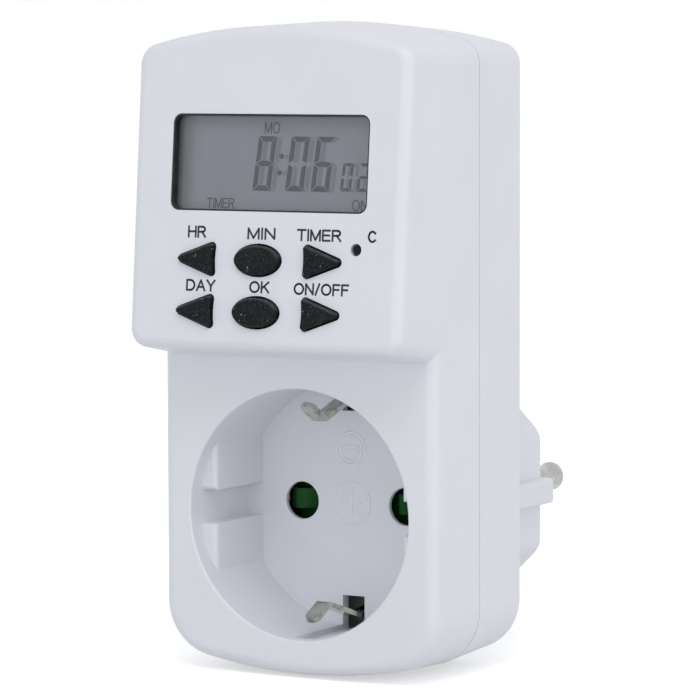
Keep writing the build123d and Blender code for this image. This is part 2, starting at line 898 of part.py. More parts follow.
def pan_screws(plane, points, size, length):
    """Screws with a cross recess: heads on the plane, shanks into the material below it."""
    shank_radius, head_radius, head_height = size
    with BuildPart() as screws:
        with BuildSketch(plane):
            with Locations(*points):
                Circle(head_radius)
        extrude(amount=head_height)
        with BuildSketch(plane.offset(head_height)):
            with Locations(*points):
                Rectangle(head_radius, recess_width)
                Rectangle(recess_width, head_radius)
        extrude(amount=-head_height / 2, mode=Mode.SUBTRACT)
        with BuildSketch(plane):
            with Locations(*points):
                Circle(shank_radius)
        extrude(amount=-length)
    return screws.part


def mirrored(points):
    """The same points in the local coordinates of a plane that faces the wall."""
    return [(-x, other) for x, other in points]


small_size = (small_screw_radius, small_screw_head_radius, small_screw_head_height)
housing_size = (screw_radius, screw_head_radius, screw_head_height)
board_back = control_board_depth + board_thickness
board_rear = Plane(
    origin=panel_layer(board_back).origin, x_dir=(-1, 0, 0), z_dir=-panel_face.z_dir
)
screw_seat = Plane(origin=(0, back_y - screw_head_sink, 0), x_dir=(-1, 0, 0), z_dir=(0, 1, 0))
board_screws = pan_screws(board_rear, mirrored(control_screws_xv), small_size, small_screw_length)
housing_screws = pan_screws(screw_seat, mirrored(housing_screws_xz), housing_size, screw_length)

with BuildPart() as controller_chip:
    with BuildSketch(board_rear):
        with Locations((-chip_x, chip_row)):
            Circle(chip_radius)
    extrude(amount=chip_height)
    fillet(controller_chip.faces().sort_by(Axis.Y)[-1].edges(), chip_height / 2)

with BuildPart() as clock_crystal:
    crystal_centre = board_rear.from_local_coords((-crystal_x, crystal_row, crystal_radius))
    with BuildSketch(Plane(origin=crystal_centre, x_dir=(0, 1, 0), z_dir=(1, 0, 0))):
        Circle(crystal_radius)
    extrude(amount=crystal_length / 2, both=True)

with BuildPart() as backup_cell:
    with BuildSketch(board_rear.offset(cell_standoff)):
        with Locations((-cell_x, cell_row)):
            Circle(cell_radius)
    extrude(amount=cell_height)
    fillet(backup_cell.edges().filter_by(GeomType.CIRCLE), cell_edge_radius)
    with BuildSketch(board_rear):
        tab_x = cell_radius + cell_tab_thickness / 2 - touch
        with Locations((-cell_x - tab_x, cell_row), (-cell_x + tab_x, cell_row)):
            Rectangle(cell_tab_thickness, cell_tab_width)
    extrude(amount=cell_standoff + cell_height / 2)

# ---------------------------------------------------------------- power board

power_front = Plane(origin=(0, power_board_front_y, 0), x_dir=(1, 0, 0), z_dir=(0, -1, 0))
power_foot = Plane(
    origin=(0, power_board_front_y, power_board_bottom), x_dir=(1, 0, 0), z_dir=(0, -1, 0)
)

with BuildPart() as power_board:
    with BuildSketch(power_front):
        with Locations((0, (power_board_bottom + power_board_top) / 2)):
            Rectangle(power_board_width, power_board_top - power_board_bottom)
        with Locations(*power_posts_xz):
            Circle(small_screw_radius + fit, mode=Mode.SUBTRACT)
    extrude(amount=-board_thickness)

power_board_screws = pan_screws(
    power_front, power_posts_xz, small_size, board_thickness + power_board_standoff - fit
)

with BuildPart() as relay:
    with BuildSketch(power_foot):
        with Locations((relay_x, relay_row)):
            Rectangle(relay_width, relay_height)
    extrude(amount=relay_depth)
    chamfer(relay.faces().sort_by(Axis.Y)[0].edges(), part_edge)

with BuildPart() as dropper_capacitor:
    with BuildSketch(power_foot):
        with Locations((dropper_x, dropper_row)):
            Rectangle(dropper_width, dropper_thickness)
    extrude(amount=dropper_depth)
    fillet(dropper_capacitor.faces().sort_by(Axis.Y)[0].edges(), part_edge)

with BuildPart() as filter_capacitors:
    with BuildSketch(power_foot):
        with Locations(*filter_spots):
            Circle(filter_radius)
    extrude(amount=filter_depth)
    fillet(filter_capacitors.faces().group_by(Axis.Y)[0].edges(), part_edge)

with BuildPart() as varistor:
    with BuildSketch(Plane.YZ.offset(varistor_x - varistor_thickness / 2)):
        with Locations((power_board_front_y - varistor_radius, power_board_bottom + varistor_row)):
            Circle(varistor_radius)
    extrude(amount=varistor_thickness)


def lying_parts(spots, radius, length):
    """Axial parts that lie along the board, each with two leads bent down into it."""
    end_x = length / 2 + lead_reach
    centre_y = power_board_front_y - radius
    with BuildPart() as parts:
        for x, row in spots:
            z = power_board_bottom + row
            with BuildSketch(Plane.YZ.offset(x)):
                with Locations((centre_y, z)):
                    Circle(radius)
            extrude(amount=length / 2, both=True)
            with BuildLine() as lead:
                FilletPolyline(
                    (x - end_x, power_board_front_y, z),
                    (x - end_x, centre_y, z),
                    (x + end_x, centre_y, z),
                    (x + end_x, power_board_front_y, z),
                    radius=lead_reach / 2,
                )
            with BuildSketch(lead.line ^ 0):
                Circle(lead_radius)
            sweep()
    return parts.part


rectifier_diodes = lying_parts(diode_spots, diode_radius, diode_length)
power_resistors = lying_parts(resistor_spots, resistor_radius, resistor_length)
thermal_fuse = lying_parts(fuse_spots, fuse_radius, fuse_length)

with BuildPart() as board_ribbon:
    with BuildSketch(Plane.YZ):
        ribbon_turn = board_rear.from_local_coords((0, ribbon_row, ribbon_reach))
        ribbon_end = board_rear.from_local_coords((0, ribbon_row, 0))
        with BuildLine():
            FilletPolyline(
                (power_board_front_y, power_board_bottom + ribbon_lift),
                (ribbon_turn.Y, power_board_bottom + ribbon_lift),
                (ribbon_turn.Y, ribbon_turn.Z),
                (ribbon_end.Y, ribbon_end.Z),
                radius=ribbon_bend_radius,
            )
        trace(line_width=ribbon_thickness)
    extrude(amount=ribbon_width / 2, both=True)

# ---------------------------------------------------------------- plug pins and contacts


def plug_pin(x):
    """Solid plug pin: shouldered on the end face, riveted inside, with a stub for its connection."""
    inner_y = -plug_end_wall - pin_flange_thickness
    steps = (
        (-pin_recess_depth, pin_radius, pin_waist_start + pin_recess_depth),
        (pin_waist_start, pin_waist_radius, pin_waist_end - pin_waist_start),
        (pin_waist_end + pin_flare_length, pin_radius, pin_length - pin_waist_end - pin_flare_length),
        (-plug_end_wall, pin_neck_radius, plug_end_wall - pin_recess_depth),
        (inner_y, pin_flange_radius, pin_flange_thickness),
        (inner_y - pin_stub_length, pin_stub_radius, pin_stub_length),
    )
    with BuildPart() as pin:
        for start_y, radius, length in steps:
            with BuildSketch(Plane.XZ.offset(-start_y)):
                with Locations((x, 0)):
                    Circle(radius)
            extrude(amount=-length)
        with Locations(Plane(origin=(x, pin_waist_end, 0), z_dir=(0, 1, 0))):
            upwards = (Align.CENTER, Align.CENTER, Align.MIN)
            Cone(pin_waist_radius, pin_radius, pin_flare_length, align=upwards)
        fillet(pin.edges().sort_by(Axis.Y)[-1], pin_tip_radius)
    return pin.part


live_pin = plug_pin(-pin_x)
neutral_pin = plug_pin(pin_x)

contact_base_y = carrier_rear_y + contact_length + contact_thickness / 2
stub_end_y = -(plug_end_wall + pin_flange_thickness + pin_stub_length)


def fork_contact(x, reach):
    """Fork of spring strip that grips a plug pin, with a base that reaches back to its own pin."""
    throat = (contact_throat + contact_thickness) / 2
    mouth = contact_mouth / 2
    body = contact_body / 2
    front = carrier_rear_y + fit
    points = (
        (-mouth, front),
        (-throat, front + contact_length * 0.35),
        (-body, front + contact_length * 0.7),
        (-body, contact_base_y),
        (body, contact_base_y),
        (body, front + contact_length * 0.7),
        (throat, front + contact_length * 0.35),
        (mouth, front),
    )
    with BuildPart() as contact:
        with BuildSketch(Plane(origin=(x, 0, 0), x_dir=(1, 0, 0), z_dir=(0, 0, 1))):
            with BuildLine():
                FilletPolyline(*points, radius=contact_bend_radius)
            trace(line_width=contact_thickness)
        extrude(amount=contact_width / 2, both=True)
        if reach > 0:
            with BuildSketch(Plane.XZ.offset(-contact_base_y)):
                with Locations((x, 0)):
                    Circle(pin_stub_radius)
            extrude(amount=-reach)
        with BuildSketch(Plane.XZ.offset(-contact_base_y)):
            with Locations((x + copysign(tab_shift, x), tab_height / 2)):
                Rectangle(tab_width, tab_height)
        extrude(amount=contact_thickness / 2, both=True)
    return contact.part


live_contact = fork_contact(-pin_x, 0)
neutral_contact = fork_contact(pin_x, stub_end_y - contact_base_y)

# ---------------------------------------------------------------- shutter and carrier

shutter_front_y = floor_rear_y + shutter_gap
shutter_rear_y = shutter_front_y + shutter_depth
shutter_left = -pin_x - shutter_ramp_width / 2 - shutter_end_margin
shutter_right = pin_x + shutter_ramp_width / 2 + shutter_window_width + shutter_end_margin

with BuildPart() as safety_shutter:
    with BuildSketch(Plane.XZ.offset(-shutter_rear_y)):
        with Locations(((shutter_left + shutter_right) / 2, 0)):
            Rectangle(shutter_right - shutter_left, shutter_height)
        for x, z in apertures_xz:
            window_x = x + (shutter_ramp_width + shutter_window_width) / 2
            with Locations((window_x, z)):
                Rectangle(shutter_window_width, shutter_window_height, mode=Mode.SUBTRACT)
    extrude(amount=shutter_plate)
    with BuildSketch(Plane.XY):
        for x, z in apertures_xz:
            with BuildLine():
                Polyline(
                    (x - shutter_ramp_width / 2, shutter_rear_y - shutter_plate),
                    (x - shutter_ramp_width / 2, shutter_front_y),
                    (x - shutter_ramp_width / 2 + shutter_plate, shutter_front_y),
                    (x + shutter_ramp_width / 2, shutter_rear_y - shutter_plate),
                    close=True,
                )
            make_face()
    extrude(amount=shutter_ramp_height / 2, both=True)
    seat_right = -pin_x - shutter_ramp_width / 2 + shutter_plate
    with BuildSketch(Plane.XZ.offset(-shutter_rear_y)):
        with Locations(((shutter_left + seat_right) / 2, 0)):
            Rectangle(seat_right - shutter_left, spring_seat_height)
    extrude(amount=spring_seat_depth)

carrier_stop_x = shutter_right + shutter_gap
rail_middle = (shutter_height + carrier_rail) / 2 + shutter_gap
cage_half = (contact_body + contact_thickness) / 2 + fit
cage_half_height = contact_width / 2 + fit

with BuildPart() as contact_carrier:
    with BuildSketch(carrier_front):
        Circle(carrier_radius)
        Rectangle(2 * carrier_half_width, shutter_height + 2 * (shutter_gap + carrier_rail))
        with Locations(*apertures_xz):
            Circle(aperture_radius + fit, mode=Mode.SUBTRACT)
        with Locations(*carrier_screws_xz):
            Circle(small_screw_radius + fit, mode=Mode.SUBTRACT)
    extrude(amount=-carrier_thickness)

    # rails and end stops round the slider
    with BuildSketch(carrier_front):
        with Locations((0, rail_middle), (0, -rail_middle)):
            Rectangle(2 * carrier_half_width, carrier_rail)
        with Locations((-carrier_half_width + carrier_rail / 2, 0)):
            Rectangle(carrier_rail, 2 * rail_middle)
        with Locations(((carrier_stop_x + carrier_half_width) / 2, 0)):
            Rectangle(carrier_half_width - carrier_stop_x, 2 * rail_middle)
    extrude(amount=shutter_depth + shutter_gap)

    # cages that hold the fork contacts
    with BuildSketch(carrier_rear):
        with Locations(*apertures_xz):
            Rectangle(2 * (cage_half + cage_wall), 2 * (cage_half_height + cage_wall))
            Rectangle(2 * cage_half, 2 * cage_half_height, mode=Mode.SUBTRACT)
    extrude(amount=-(contact_length - fit))

carrier_rear_view = Plane(origin=(0, carrier_rear_y, 0), x_dir=(-1, 0, 0), z_dir=(0, 1, 0))
carrier_screws = pan_screws(
    carrier_rear_view, mirrored(carrier_screws_xz), small_size, small_screw_length
)

spring_start = -carrier_half_width + carrier_rail
spring_length = shutter_left - spring_start
spring_y = shutter_rear_y - spring_seat_depth / 2

with BuildPart() as shutter_spring:
    spring_end = spring_wire_radius + fit / 2
    with BuildLine() as coil:
        Helix(
            pitch=(spring_length - 2 * spring_end) / spring_turns,
            height=spring_length - 2 * spring_end,
            radius=spring_coil_radius,
            center=(spring_start + spring_end, spring_y, 0),
            direction=(1, 0, 0),
        )
    with BuildSketch(coil.line ^ 0):
        Circle(spring_wire_radius)
    sweep()

# ---------------------------------------------------------------- earth strips


def earth_strip(side, clip):
    """Bent strip that is the clip in the socket at one end and the plug's earth contact at the other."""
    joggle = (earth_slot_outer - clip_root_height) / 2
    points = (
        *((front_y + depth, side * height) for depth, height in clip),
        (front_y + well_depth, side * clip_root_height),
        (floor_rear_y + joggle, side * clip_root_height),
        (carrier_front_y, side * earth_rear_height),
        (-strip_end_depth, side * earth_rear_height),
        (-strip_end_depth, side * (earth_groove_inner - strip_hook + fit)),
    )
    with BuildPart() as strip:
        with BuildSketch(Plane.YZ):
            with BuildLine():
                FilletPolyline(*points, radius=strip_bend_radius / 2)
            trace(line_width=strip_thickness)
        extrude(amount=strip_width / 2, both=True)
        tip = strip.faces().sort_by(Axis.Y)[0]
        corners = tip.edges().filter_by(lambda e: abs(e.center().X) > strip_width / 2 - touch)
        fillet(corners, strip_tip_radius)
    return strip.part


earth_strip_top = earth_strip(1, top_clip)
earth_strip_bottom = earth_strip(-1, bottom_clip)

with BuildPart() as earth_link:
    with BuildSketch(carrier_rear.offset(-fit)):
        Rectangle(earth_link_width, 2 * (earth_rear_height - strip_thickness / 2))
    extrude(amount=-strip_thickness * 0.75)

# ---------------------------------------------------------------- wiring


def wire(*points):
    """Round wire along straight runs joined by arcs."""
    with BuildPart() as run:
        with BuildLine() as path:
            FilletPolyline(*points, radius=wire_bend_radius)
        with BuildSketch(path.line ^ 0):
            Circle(wire_radius)
        sweep()
    return run.part


def contact_wire(side):
    """Wire from the tab of one socket contact up to the power board."""
    x = side * (pin_x + tab_shift)
    return wire(
        (x, contact_base_y - contact_thickness / 2, contact_wire_z),
        (x, wire_run_y, contact_wire_z),
        (x, wire_run_y, wire_end_z),
        (x, power_board_rear_y, wire_end_z),
    )


relay_wire = contact_wire(-1)
neutral_wire = contact_wire(1)
live_wire = wire(
    (-pin_x, stub_end_y + pin_stub_length / 2, pin_stub_radius),
    (-pin_x, stub_end_y + pin_stub_length / 2, live_wire_z),
    (-pin_x, wire_run_y, live_wire_z),
    (-pin_x, wire_run_y, wire_end_z),
    (-pin_x, power_board_rear_y, wire_end_z),
)

# ---------------------------------------------------------------- output

pieces = {
    "front_housing": front_housing.part,
    "rear_housing": rear_housing.part,
    "housing_screws": housing_screws,
    "display_window": display_window.part,
    "lcd_glass": lcd_glass.part,
    "lcd_holder": lcd_holder.part,
    "zebra_strips": zebra_strips.part,
    **keys,
    "keypad_mat": keypad_mat.part,
    "control_board": control_board.part,
    "board_screws": board_screws,
    "controller_chip": controller_chip.part,
    "clock_crystal": clock_crystal.part,
    "backup_cell": backup_cell.part,
    "power_board": power_board.part,
    "power_board_screws": power_board_screws,
    "relay": relay.part,
    "dropper_capacitor": dropper_capacitor.part,
    "filter_capacitors": filter_capacitors.part,
    "varistor": varistor.part,
    "rectifier_diodes": rectifier_diodes,
    "power_resistors": power_resistors,
    "thermal_fuse": thermal_fuse,
    "board_ribbon": board_ribbon.part,
    "live_pin": live_pin,
    "neutral_pin": neutral_pin,
    "live_contact": live_contact,
    "neutral_contact": neutral_contact,
    "contact_carrier": contact_carrier.part,
    "carrier_screws": carrier_screws,
    "safety_shutter": safety_shutter.part,
    "shutter_spring": shutter_spring.part,
    "earth_strip_top": earth_strip_top,
    "earth_strip_bottom": earth_strip_bottom,
    "earth_link": earth_link.part,
    "live_wire": live_wire,
    "relay_wire": relay_wire,
    "neutral_wire": neutral_wire,
}

os.makedirs("parts", exist_ok=True)
for name, piece in pieces.items():
    piece.label = name
    export_step(piece, f"parts/{name}.step")
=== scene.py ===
"""Studio scene of a plug-in timer switch: camera, lamps, finishes, legends and the display's reading."""

from math import cos, pi, radians, sin

import bmesh
import bpy
from mathutils import Matrix, Vector


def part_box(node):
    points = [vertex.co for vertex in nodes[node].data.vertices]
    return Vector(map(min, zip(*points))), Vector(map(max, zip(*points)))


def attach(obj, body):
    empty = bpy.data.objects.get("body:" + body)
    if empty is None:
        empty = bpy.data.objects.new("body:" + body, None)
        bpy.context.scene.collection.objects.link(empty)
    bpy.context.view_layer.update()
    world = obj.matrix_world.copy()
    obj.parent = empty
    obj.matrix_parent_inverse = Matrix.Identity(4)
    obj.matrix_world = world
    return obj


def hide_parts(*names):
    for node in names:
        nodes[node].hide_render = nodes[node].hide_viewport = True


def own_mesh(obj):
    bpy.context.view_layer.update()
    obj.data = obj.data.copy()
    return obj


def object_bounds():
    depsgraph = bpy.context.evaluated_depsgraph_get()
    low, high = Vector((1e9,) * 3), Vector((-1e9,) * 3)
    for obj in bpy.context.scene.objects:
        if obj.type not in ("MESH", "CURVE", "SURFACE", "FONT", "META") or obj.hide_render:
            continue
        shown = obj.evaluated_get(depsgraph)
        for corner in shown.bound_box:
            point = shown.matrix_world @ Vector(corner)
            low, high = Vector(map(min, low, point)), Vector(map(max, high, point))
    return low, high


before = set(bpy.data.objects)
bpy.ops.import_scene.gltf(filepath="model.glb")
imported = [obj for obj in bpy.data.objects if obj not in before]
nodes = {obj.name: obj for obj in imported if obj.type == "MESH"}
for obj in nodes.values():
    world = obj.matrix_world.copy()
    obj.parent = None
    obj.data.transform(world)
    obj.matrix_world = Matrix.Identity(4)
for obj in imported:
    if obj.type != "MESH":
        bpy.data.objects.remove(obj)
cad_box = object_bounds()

MM = 0.001

# ---------------------------------------------------------------- places on the object, in millimetres

FRONT_Y = -49.2
WELL_FLOOR_Y = -31.7
PANEL_FOOT = Vector((0, -60.4, 24.4))
PANEL_LEAN = radians(5)
PANEL_UP = Vector((0, sin(PANEL_LEAN), cos(PANEL_LEAN)))
PANEL_OUT = Vector((0, -cos(PANEL_LEAN), sin(PANEL_LEAN)))
GLASS_DEPTH = 2.0


def on_panel(x, up, out):
    """A point on the leaning panel: across, up from its foot line, and out from its face."""
    return (PANEL_FOOT + Vector((x, 0, 0)) + PANEL_UP * up + PANEL_OUT * out) * MM


def row(z):
    """Height up the panel of a place that is this high above the socket's middle."""
    return (z - PANEL_FOOT.z) / cos(PANEL_LEAN)


# ---------------------------------------------------------------- shader helpers

# A Mix node names its sockets alike for numbers, vectors and colours, so the ones for colours go by number.
FIRST_COLOUR, SECOND_COLOUR, MIXED_COLOUR = 6, 7, 2

# Noise runs from 0 to 1 but is mostly between these two values, so looks are stretched from them.
NOISE_LOW, NOISE_HIGH = 0.3, 0.7


def linear(code):
    """An sRGB hex colour as the linear numbers that a shader takes."""
    parts = [int(code[i : i + 2], 16) / 255 for i in (1, 3, 5)]
    return tuple(p / 12.92 if p <= 0.04045 else ((p + 0.055) / 1.055) ** 2.4 for p in parts) + (1.0,)


def add(tree, kind, inputs=(), **settings):
    """Adds one shader node with its settings, and its inputs as plain values or other nodes' outputs."""
    made = tree.nodes.new("ShaderNode" + kind)
    for key, value in settings.items():
        setattr(made, key, value)
    for key, value in dict(inputs).items():
        if isinstance(value, bpy.types.NodeSocket):
            tree.links.new(value, made.inputs[key])
        else:
            made.inputs[key].default_value = value
    return made


def new_material(name):
    """An empty material, its node tree and the object's own coordinates in metres."""
    material = bpy.data.materials.new(name)
    material.use_nodes = True
    tree = material.node_tree
    tree.nodes.clear()
    place = add(tree, "TexCoord").outputs["Object"]
    return material, tree, place


def per_metre(size_mm):
    """Texture scale that makes one feature about this many millimetres across."""
    return 1 / (size_mm * MM)


def patches(tree, place, size_mm, detail, low=0.0, high=1.0, from_low=NOISE_LOW, from_high=NOISE_HIGH):
    """Soft random patches about this many millimetres across, as values between low and high."""
    random = add(tree, "TexNoise", {"Vector": place, "Scale": per_metre(size_mm), "Detail": detail})
    return add(tree, "MapRange", {
        "Value": random.outputs["Fac"],
        "From Min": from_low, "From Max": from_high, "To Min": low, "To Max": high,
    }).outputs["Result"]


def clouded(tree, place, size_mm, shades, detail=3.0):
    """A colour that drifts between two close shades in soft clouds."""
    first, second = shades
    return add(tree, "Mix", {
        "Factor": patches(tree, place, size_mm, detail),
        FIRST_COLOUR: linear(first), SECOND_COLOUR: linear(second),
    }, data_type="RGBA").outputs[MIXED_COLOUR]


def grained(tree, place, size_mm, depth_mm, roughness, detail=2.0):
    """A shader's roughness, between two limits, and its relief, both from one fine grain."""
    grain = add(tree, "TexNoise", {"Vector": place, "Scale": per_metre(size_mm), "Detail": detail})
    smoothest, roughest = roughness
    drift = add(tree, "MapRange", {
        "Value": grain.outputs["Fac"],
        "From Min": NOISE_LOW, "From Max": NOISE_HIGH, "To Min": smoothest, "To Max": roughest,
    })
    relief = add(tree, "Bump", {"Height": grain.outputs["Fac"], "Distance": depth_mm * MM, "Strength": 1.0})
    return {"Roughness": drift.outputs["Result"], "Normal": relief.outputs["Normal"]}


def sees_white(tree):
    """1 for rays that see the background white: the camera's, reflected ones, ones through clear parts."""
    rays = add(tree, "LightPath").outputs
    seen = rays["Is Camera Ray"]
    for kind in ("Is Glossy Ray", "Is Transmission Ray"):
        seen = add(tree, "Math", {0: seen, 1: rays[kind]}, operation="MAXIMUM").outputs["Value"]
    return seen


def finish(name, shades, cloud_mm, grain_mm, grain_depth_mm, roughness, fixed=()):
    """A material with two close shades in soft clouds, a fine grain, and values that are fixed all over."""
    material, tree, place = new_material(name)
    shader = add(tree, "BsdfPrincipled", {
        "Base Color": clouded(tree, place, cloud_mm, shades),
        **grained(tree, place, grain_mm, grain_depth_mm, roughness),
        **dict(fixed),
    })
    add(tree, "OutputMaterial", {"Surface": shader.outputs["BSDF"]})
    return material


# ---------------------------------------------------------------- materials

# White ABS from a spark-eroded tool: cool white, satin, with a very fine even grain.
housing_abs = finish(
    "abs_white_satin_moulded", ("#EBEDF3", "#E8EAF0"),
    cloud_mm=14.0, grain_mm=0.10, grain_depth_mm=0.0016, roughness=(0.36, 0.42), fixed={"IOR": 1.52},
)

# The same ABS, polished, on the raised marks: smoother, so it catches more light, and painted paler as a
# highlight.
polished_highlit_abs = finish(
    "abs_white_polished_highlit", ("#F6F7FB", "#F3F4F9"),
    cloud_mm=8.0, grain_mm=0.10, grain_depth_mm=0.0008, roughness=(0.20, 0.26), fixed={"IOR": 1.52},
)


def rubber_with_dust_and_highlight(name, shades, dust_and_highlight_tone, speck):
    """Matt rubber with a patchy haze, dust and painted highlight where a face looks up, and small pale
    specks.
    """
    material, tree, place = new_material(name)
    body = clouded(tree, place, size_mm=1.6, shades=shades, detail=4.0)
    # Faces that look up turn paler: partly dust that settles there, partly a painted highlight on the upper
    # rims.
    facing = add(tree, "SeparateXYZ", {"Vector": add(tree, "TexCoord").outputs["Normal"]})
    looks_up = add(tree, "MapRange", {
        "Value": facing.outputs["Z"], "From Min": 0.08, "From Max": 0.50, "To Min": 0.0, "To Max": 0.62,
    })
    patchy = patches(
        tree, place, size_mm=0.5, detail=5.0, low=0.35, high=1.0, from_low=0.35, from_high=0.65
    )
    haze = patches(tree, place, size_mm=0.35, detail=5.0, high=0.34, from_low=0.5, from_high=0.8)
    upward_dust_and_highlight = add(tree, "Math", {0: looks_up.outputs["Result"], 1: patchy}, operation="MULTIPLY")
    dust_and_highlight_share = add(tree, "Math", {0: upward_dust_and_highlight.outputs["Value"], 1: haze}, operation="ADD", use_clamp=True)
    dusted_and_highlit = add(tree, "Mix", {
        "Factor": dust_and_highlight_share.outputs["Value"], FIRST_COLOUR: body, SECOND_COLOUR: linear(dust_and_highlight_tone),
    }, data_type="RGBA")
    cells = add(tree, "TexVoronoi", {"Vector": place, "Scale": per_metre(0.6), "Randomness": 1.0})
    speck_size = patches(
        tree, place, size_mm=0.9, detail=1.0, low=0.03, high=0.24, from_low=0.45, from_high=0.75
    )
    is_speck = add(tree, "Math", {0: cells.outputs["Distance"], 1: speck_size}, operation="LESS_THAN")
    specked = add(tree, "Mix", {
        "Factor": is_speck.outputs["Value"],
        FIRST_COLOUR: dusted_and_highlit.outputs[MIXED_COLOUR], SECOND_COLOUR: linear(speck),
    }, data_type="RGBA")
    shader = add(tree, "BsdfPrincipled", {
        "Base Color": specked.outputs[MIXED_COLOUR],
        **grained(tree, place, size_mm=0.12, depth_mm=0.012, roughness=(0.50, 0.64), detail=3.0),
        "IOR": 1.41,
        "Specular IOR Level": 0.18,
    })
    add(tree, "OutputMaterial", {"Surface": shader.outputs["BSDF"]})
    return material


# Silicone rubber of the keys: charcoal, matt, dust and painted highlight where a face looks up, pale specks.
key_rubber = rubber_with_dust_and_highlight(
    "silicone_charcoal_matt_moulded", ("#0D0F11", "#16191C"), dust_and_highlight_tone="#5C6166", speck="#878D90"
)


def clear_acrylic(name, tint, passing_tint):
    """Clear polished plastic with a faint ripple, which lets light straight through to what lies below."""
    material, tree, place = new_material(name)
    clear = add(tree, "BsdfPrincipled", {
        "Base Color": linear(tint),
        **grained(tree, place, size_mm=9.0, depth_mm=0.002, roughness=(0.01, 0.03), detail=1.0),
        "IOR": 1.49,
        "Transmission Weight": 1.0,
    })
    passing = add(tree, "BsdfTransparent", {"Color": linear(passing_tint)})
    mix = add(tree, "MixShader", {
        "Fac": add(tree, "LightPath").outputs["Is Shadow Ray"],
        1: clear.outputs["BSDF"], 2: passing.outputs["BSDF"],
    })
    add(tree, "OutputMaterial", {"Surface": mix.outputs["Shader"]})
    return material


# Clear acrylic of the window: nearly no colour, a sharp faint reflection, and lets light to the glass below.
window_acrylic = clear_acrylic("acrylic_clear_polished", "#F3F5F6", "#F1F3F4")


def shaded_film(name, shades, shade, shade_from_mm, shade_to_mm):
    """Satin film that darkens to a shade at its left end, between two places across."""
    material, tree, place = new_material(name)
    unshaded = add(tree, "MapRange", {
        "Value": add(tree, "SeparateXYZ", {"Vector": place}).outputs["X"],
        "From Min": shade_from_mm * MM, "From Max": shade_to_mm * MM,
    }, interpolation_type="SMOOTHSTEP")
    colour = add(tree, "Mix", {
        "Factor": unshaded.outputs["Result"],
        FIRST_COLOUR: linear(shade), SECOND_COLOUR: clouded(tree, place, size_mm=7.0, shades=shades),
    }, data_type="RGBA")
    shader = add(tree, "BsdfPrincipled", {
        "Base Color": colour.outputs[MIXED_COLOUR],
        **grained(tree, place, size_mm=0.2, depth_mm=0.0008, roughness=(0.30, 0.38)),
        "IOR": 1.5,
    })
    add(tree, "OutputMaterial", {"Surface": shader.outputs["BSDF"]})
    return material


# Polariser film on the liquid crystal glass: cool grey with a soft sheen, and darker at its left end,
# where the frame shades it.
polariser = shaded_film(
    "polariser_film_grey", ("#807F8B", "#7C7B87"), shade="#3C3E41", shade_from_mm=-17.6, shade_to_mm=-12.9
)

# Switched-on liquid crystal: darker, bluish grey, flat as the film.
crystal_dark = finish(
    "liquid_crystal_dark", ("#2A2A35", "#30303B"),
    cloud_mm=3.0, grain_mm=0.2, grain_depth_mm=0.0005, roughness=(0.34, 0.40), fixed={"IOR": 1.5},
)

# Shadow of the crystal on the reflector behind it: only a shade darker than the film.
crystal_shadow = finish(
    "liquid_crystal_shadow", ("#696874", "#666571"),
    cloud_mm=3.0, grain_mm=0.2, grain_depth_mm=0.0005, roughness=(0.34, 0.40), fixed={"IOR": 1.5},
)

# Black ABS of the display's frame: matt black that swallows the light round the glass.
frame_abs = finish(
    "abs_black_matt_moulded", ("#121314", "#181A1B"),
    cloud_mm=5.0, grain_mm=0.12, grain_depth_mm=0.003, roughness=(0.48, 0.58), fixed={"IOR": 1.52},
)

# Grey silicone of the key mat and the conductive strips: dull, with a soft skin.
mat_rubber = finish(
    "silicone_grey_moulded", ("#6B6D70", "#76787B"),
    cloud_mm=4.0, grain_mm=0.15, grain_depth_mm=0.004, roughness=(0.55, 0.68), fixed={"IOR": 1.43},
)

# Printing ink of the legends: blue-black, duller than the plastic it is printed on.
legend_ink = finish(
    "pad_print_ink_black", ("#212427", "#2A2D31"),
    cloud_mm=0.8, grain_mm=0.10, grain_depth_mm=0.001, roughness=(0.42, 0.55), fixed={"IOR": 1.5},
)

# Green polyamide of the socket's shutter: deep green and satin, with a weak reflection.
shutter_nylon = finish(
    "polyamide_green_moulded", ("#115220", "#176029"),
    cloud_mm=2.2, grain_mm=0.16, grain_depth_mm=0.003, roughness=(0.46, 0.58),
    fixed={"IOR": 1.53, "Specular IOR Level": 0.25},
)

# Polyamide of the contact carrier behind it: dark grey, matt.
carrier_nylon = finish(
    "polyamide_grey_moulded", ("#3A3C3E", "#444648"),
    cloud_mm=5.0, grain_mm=0.15, grain_depth_mm=0.004, roughness=(0.45, 0.58), fixed={"IOR": 1.53},
)


def drawn_metal(name, shades, stains, stain_share, stain_mm, roughness):
    """Plated metal with fine lines drawn out along Y, soft dulling, and darker stains in patches."""
    material, tree, place = new_material(name)
    dulling = patches(tree, place, size_mm=2.4, detail=4.0)
    plate = add(tree, "Mix", {
        "Factor": dulling, FIRST_COLOUR: linear(shades[0]), SECOND_COLOUR: linear(shades[1]),
    }, data_type="RGBA")
    stained = patches(tree, place, stain_mm, detail=4.0, high=stain_share, from_low=0.50, from_high=0.68)
    colour = add(tree, "Mix", {
        "Factor": stained, FIRST_COLOUR: plate.outputs[MIXED_COLOUR], SECOND_COLOUR: linear(stains),
    }, data_type="RGBA")
    drift = add(tree, "MapRange", {"Value": dulling, "To Min": roughness[0], "To Max": roughness[1]})
    stretched = add(tree, "Mapping", {"Vector": place, "Scale": (1.0, 0.08, 1.0)})
    lines = add(tree, "TexNoise", {
        "Vector": stretched.outputs["Vector"], "Scale": per_metre(0.09), "Detail": 3.0,
    })
    relief = add(tree, "Bump", {"Height": lines.outputs["Fac"], "Distance": 0.0025 * MM, "Strength": 1.0})
    shader = add(tree, "BsdfPrincipled", {
        "Base Color": colour.outputs[MIXED_COLOUR],
        "Metallic": 1.0,
        "Roughness": drift.outputs["Result"],
        "Normal": relief.outputs["Normal"],
    })
    add(tree, "OutputMaterial", {"Surface": shader.outputs["BSDF"]})
    return material


